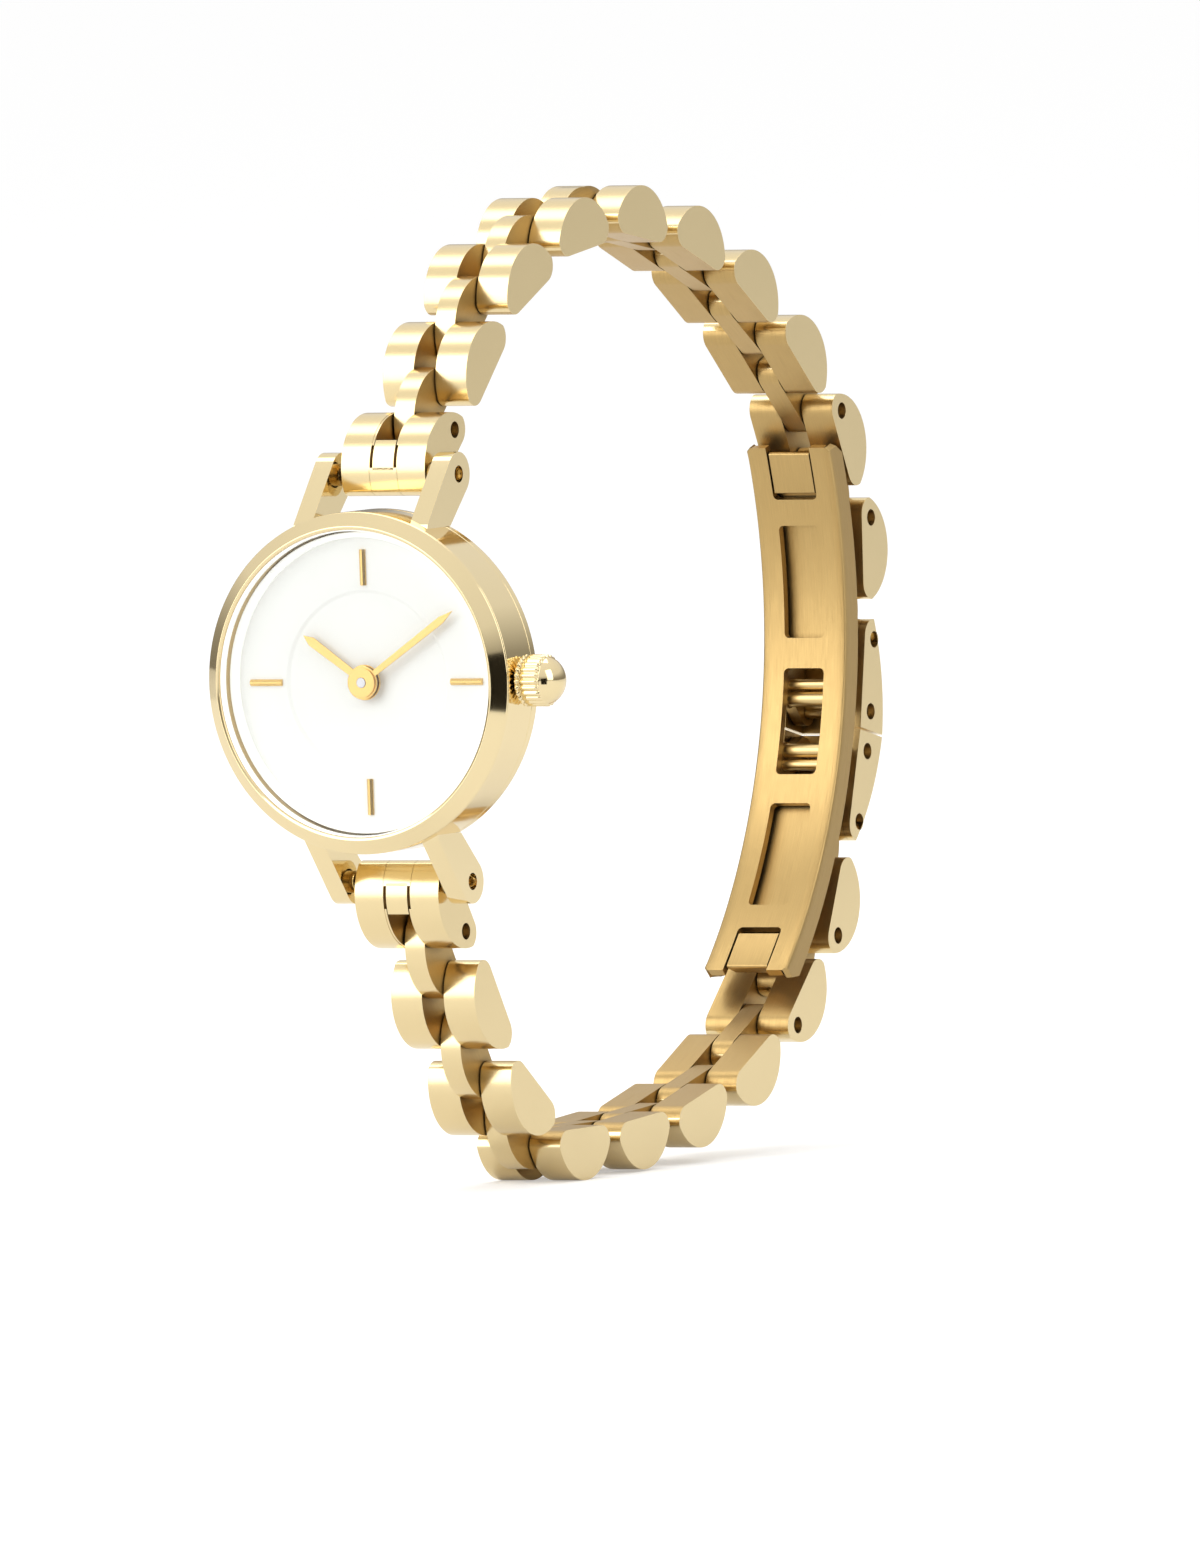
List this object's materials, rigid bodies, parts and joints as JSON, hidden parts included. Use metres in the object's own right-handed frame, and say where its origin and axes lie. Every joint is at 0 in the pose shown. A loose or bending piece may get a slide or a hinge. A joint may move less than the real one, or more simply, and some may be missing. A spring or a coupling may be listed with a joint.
{
  "type": "wristwatch",
  "caption": "Small round quartz watch on a jointed bracelet of half-moon links with a folding clasp, standing closed.",
  "frame": {"origin": "centre of the outer face of the case back", "axes": "+Y from the dial through the case back, +Z towards twelve o'clock, +X towards the crown"},
  "size_m": [0.0226, 0.06, 0.058],
  "materials": {
    "gold_polished": "mirror polished gold plate",
    "gold_brushed": "brushed gold plate",
    "brushed_back": "brushed gold plate",
    "hands_gold": "polished gold plate",
    "dial_white": "satin warm white",
    "mineral_glass": "clear polished",
    "seal_rubber": "matte",
    "holder_plastic": "matte",
    "movement_alloy": "fine turned",
    "bare_steel": "plain steel"
  },
  "bodies": {
    "head": {"case_middle": "gold_polished", "bezel": "gold_polished", "crystal": "mineral_glass", "crystal_gasket": "seal_rubber", "rehaut_ring": "gold_brushed", "dial": "dial_white", "hour_markers": "hands_gold", "movement": "movement_alloy", "movement_holder": "holder_plastic", "button_cell": "bare_steel", "case_back": "brushed_back", "crown_seal": "seal_rubber", "upper_spring_bar": "bare_steel"},
    "minute": {"minute_hand": "hands_gold", "minute_arbor": "bare_steel"},
    "hour": {"hour_hand": "hands_gold", "hour_pipe": "bare_steel"},
    "stem": {"setting_stem": "bare_steel"},
    "crown_turner": {"crown": "gold_polished"},
    "upper_end": {"upper_end_link": "gold_polished", "upper_end_link_pin": "gold_polished"},
    "upper_1": {"upper_link_1": "gold_polished"},
    "upper_2": {"upper_link_2": "gold_polished"},
    "upper_3": {"upper_link_3": "gold_polished"},
    "upper_4": {"upper_link_4": "gold_polished"},
    "upper_5": {"upper_link_5": "gold_polished"},
    "upper_6": {"upper_link_6": "gold_polished"},
    "upper_7": {"upper_link_7": "gold_polished"},
    "upper_8": {"upper_link_8": "gold_polished", "upper_link_8_pin": "gold_polished"},
    "upper_9": {"upper_link_9": "gold_polished", "upper_link_9_pin": "gold_polished"},
    "upper_cover": {"upper_clasp_cover": "gold_polished", "upper_clasp_cover_pin": "gold_polished"},
    "upper_folding_leaf": {"upper_leaf": "gold_brushed", "upper_leaf_rods": "gold_polished"},
    "plate": {"clasp_plate": "gold_brushed", "clasp_hinge_pins": "gold_polished"},
    "lower_folding_leaf": {"lower_leaf": "gold_brushed", "lower_leaf_rods": "gold_polished"},
    "lower_cover": {"lower_clasp_cover": "gold_polished", "lower_clasp_cover_pin": "gold_polished"},
    "lower_8": {"lower_link_8": "gold_polished", "lower_link_8_pin": "gold_polished"},
    "lower_7": {"lower_link_7": "gold_polished", "lower_link_7_pin": "gold_polished"},
    "lower_6": {"lower_link_6": "gold_polished"},
    "lower_5": {"lower_link_5": "gold_polished"},
    "lower_4": {"lower_link_4": "gold_polished"},
    "lower_3": {"lower_link_3": "gold_polished"},
    "lower_2": {"lower_link_2": "gold_polished"},
    "lower_1": {"lower_link_1": "gold_polished"},
    "lower_end": {"lower_end_link": "gold_polished", "lower_end_link_pin": "gold_polished", "lower_spring_bar": "bare_steel"}
  },
  "joints": [
    {"name": "upper_lug_pivot", "type": "hinge", "parent": "head", "child": "upper_end", "pos_m": [0, 0.0004, 0.0119], "axis": [1, 0, 0], "range_deg": [0, 40]},
    {"name": "upper_1_pivot", "type": "hinge", "parent": "upper_end", "child": "upper_1", "pos_m": [0, 0.00311, 0.01434], "axis": [1, 0, 0], "range_deg": [0, 10]},
    {"name": "upper_2_pivot", "type": "hinge", "parent": "upper_1", "child": "upper_2", "pos_m": [0, 0.01093, 0.02187], "axis": [1, 0, 0], "range_deg": [0, 19.4]},
    {"name": "upper_3_pivot", "type": "hinge", "parent": "upper_2", "child": "upper_3", "pos_m": [0, 0.01753, 0.02487], "axis": [1, 0, 0], "range_deg": [0, 17.4]},
    {"name": "upper_4_pivot", "type": "hinge", "parent": "upper_3", "child": "upper_4", "pos_m": [0, 0.02472, 0.02577], "axis": [1, 0, 0], "range_deg": [0, 17.2]},
    {"name": "upper_5_pivot", "type": "hinge", "parent": "upper_4", "child": "upper_5", "pos_m": [0, 0.03186, 0.0245], "axis": [1, 0, 0], "range_deg": [0, 11.9]},
    {"name": "upper_6_pivot", "type": "hinge", "parent": "upper_5", "child": "upper_6", "pos_m": [0, 0.03858, 0.02178], "axis": [1, 0, 0], "range_deg": [0, 12.2]},
    {"name": "upper_7_pivot", "type": "hinge", "parent": "upper_6", "child": "upper_7", "pos_m": [0, 0.04458, 0.0177], "axis": [1, 0, 0], "range_deg": [0, 8.3]},
    {"name": "upper_8_pivot", "type": "hinge", "parent": "upper_7", "child": "upper_8", "pos_m": [0, 0.04991, 0.0128], "axis": [1, 0, 0], "range_deg": [0, 21.6]},
    {"name": "upper_9_pivot", "type": "hinge", "parent": "upper_8", "child": "upper_9", "pos_m": [0, 0.05306, 0.00626], "axis": [1, 0, 0], "range_deg": [0, 26.7]},
    {"name": "upper_cover_pivot", "type": "hinge", "parent": "upper_9", "child": "upper_cover", "pos_m": [0, 0.05293, -0.00099], "axis": [1, 0, 0], "range_deg": [0, 8.7]},
    {"name": "clasp_opening", "type": "hinge", "parent": "upper_cover", "child": "upper_folding_leaf", "pos_m": [0, 0.0522, -0.00522], "axis": [1, 0, 0], "range_deg": [0, 134]},
    {"name": "plate_hinge", "type": "hinge", "parent": "upper_folding_leaf", "child": "plate", "pos_m": [0, 0.04938, 0.0094], "axis": [1, 0, 0], "range_deg": [-134, 0]},
    {"name": "lower_leaf_hinge", "type": "hinge", "parent": "plate", "child": "lower_folding_leaf", "pos_m": [0, 0.04245, -0.01928], "axis": [1, 0, 0], "range_deg": [-134, 0]},
    {"name": "lower_cover_hinge", "type": "hinge", "parent": "lower_folding_leaf", "child": "lower_cover", "pos_m": [0, 0.05164, -0.00756], "axis": [1, 0, 0], "range_deg": [0, 134]},
    {"name": "lower_8_pivot", "type": "hinge", "parent": "lower_cover", "child": "lower_8", "pos_m": [0, 0.05035, -0.01166], "axis": [1, 0, 0], "range_deg": [0, 7.6]},
    {"name": "lower_7_pivot", "type": "hinge", "parent": "lower_8", "child": "lower_7", "pos_m": [0, 0.04729, -0.01823], "axis": [1, 0, 0], "range_deg": [0, 21.9]},
    {"name": "lower_6_pivot", "type": "hinge", "parent": "lower_7", "child": "lower_6", "pos_m": [0, 0.042, -0.02319], "axis": [1, 0, 0], "range_deg": [0, 17.5]},
    {"name": "lower_5_pivot", "type": "hinge", "parent": "lower_6", "child": "lower_5", "pos_m": [0, 0.03545, -0.02631], "axis": [1, 0, 0], "range_deg": [0, 11.8]},
    {"name": "lower_4_pivot", "type": "hinge", "parent": "lower_5", "child": "lower_4", "pos_m": [0, 0.02841, -0.02802], "axis": [1, 0, 0], "range_deg": [0, 9.6]},
    {"name": "lower_3_pivot", "type": "hinge", "parent": "lower_4", "child": "lower_3", "pos_m": [0, 0.02118, -0.02853], "axis": [1, 0, 0], "range_deg": [0, 4]},
    {"name": "lower_2_pivot", "type": "hinge", "parent": "lower_3", "child": "lower_2", "pos_m": [0, 0.01393, -0.02853], "axis": [1, 0, 0], "range_deg": [0, 37]},
    {"name": "lower_1_pivot", "type": "hinge", "parent": "lower_2", "child": "lower_1", "pos_m": [0, 0.00814, -0.02416], "axis": [1, 0, 0], "range_deg": [0, 21]},
    {"name": "lower_end_link_pivot", "type": "hinge", "parent": "lower_1", "child": "lower_end", "pos_m": [0, 0.00241, -0.01495], "axis": [1, 0, 0], "range_deg": [0, 10]},
    {"name": "minute_turn", "type": "hinge", "parent": "head", "child": "minute", "pos_m": [0, -0.0043, 0], "axis": [0, 1, 0], "continuous": true},
    {"name": "hour_turn", "type": "hinge", "parent": "head", "child": "hour", "pos_m": [0, -0.0043, 0], "axis": [0, 1, 0], "continuous": true},
    {"name": "stem_pull", "type": "slide", "parent": "head", "child": "stem", "axis": [1, 0, 0], "range_m": [0, 0.001]},
    {"name": "crown_turn", "type": "hinge", "parent": "stem", "child": "crown_turner", "pos_m": [0.01112, -0.0025, 0], "axis": [1, 0, 0], "continuous": true}
  ],
  "couplings": [
    {"joint": "plate_hinge", "follows": "clasp_opening", "ratio": -1},
    {"joint": "lower_leaf_hinge", "follows": "clasp_opening", "ratio": -1},
    {"joint": "lower_cover_hinge", "follows": "clasp_opening", "ratio": 1},
    {"joint": "hour_turn", "follows": "minute_turn", "ratio": 0.083333}
  ]
}
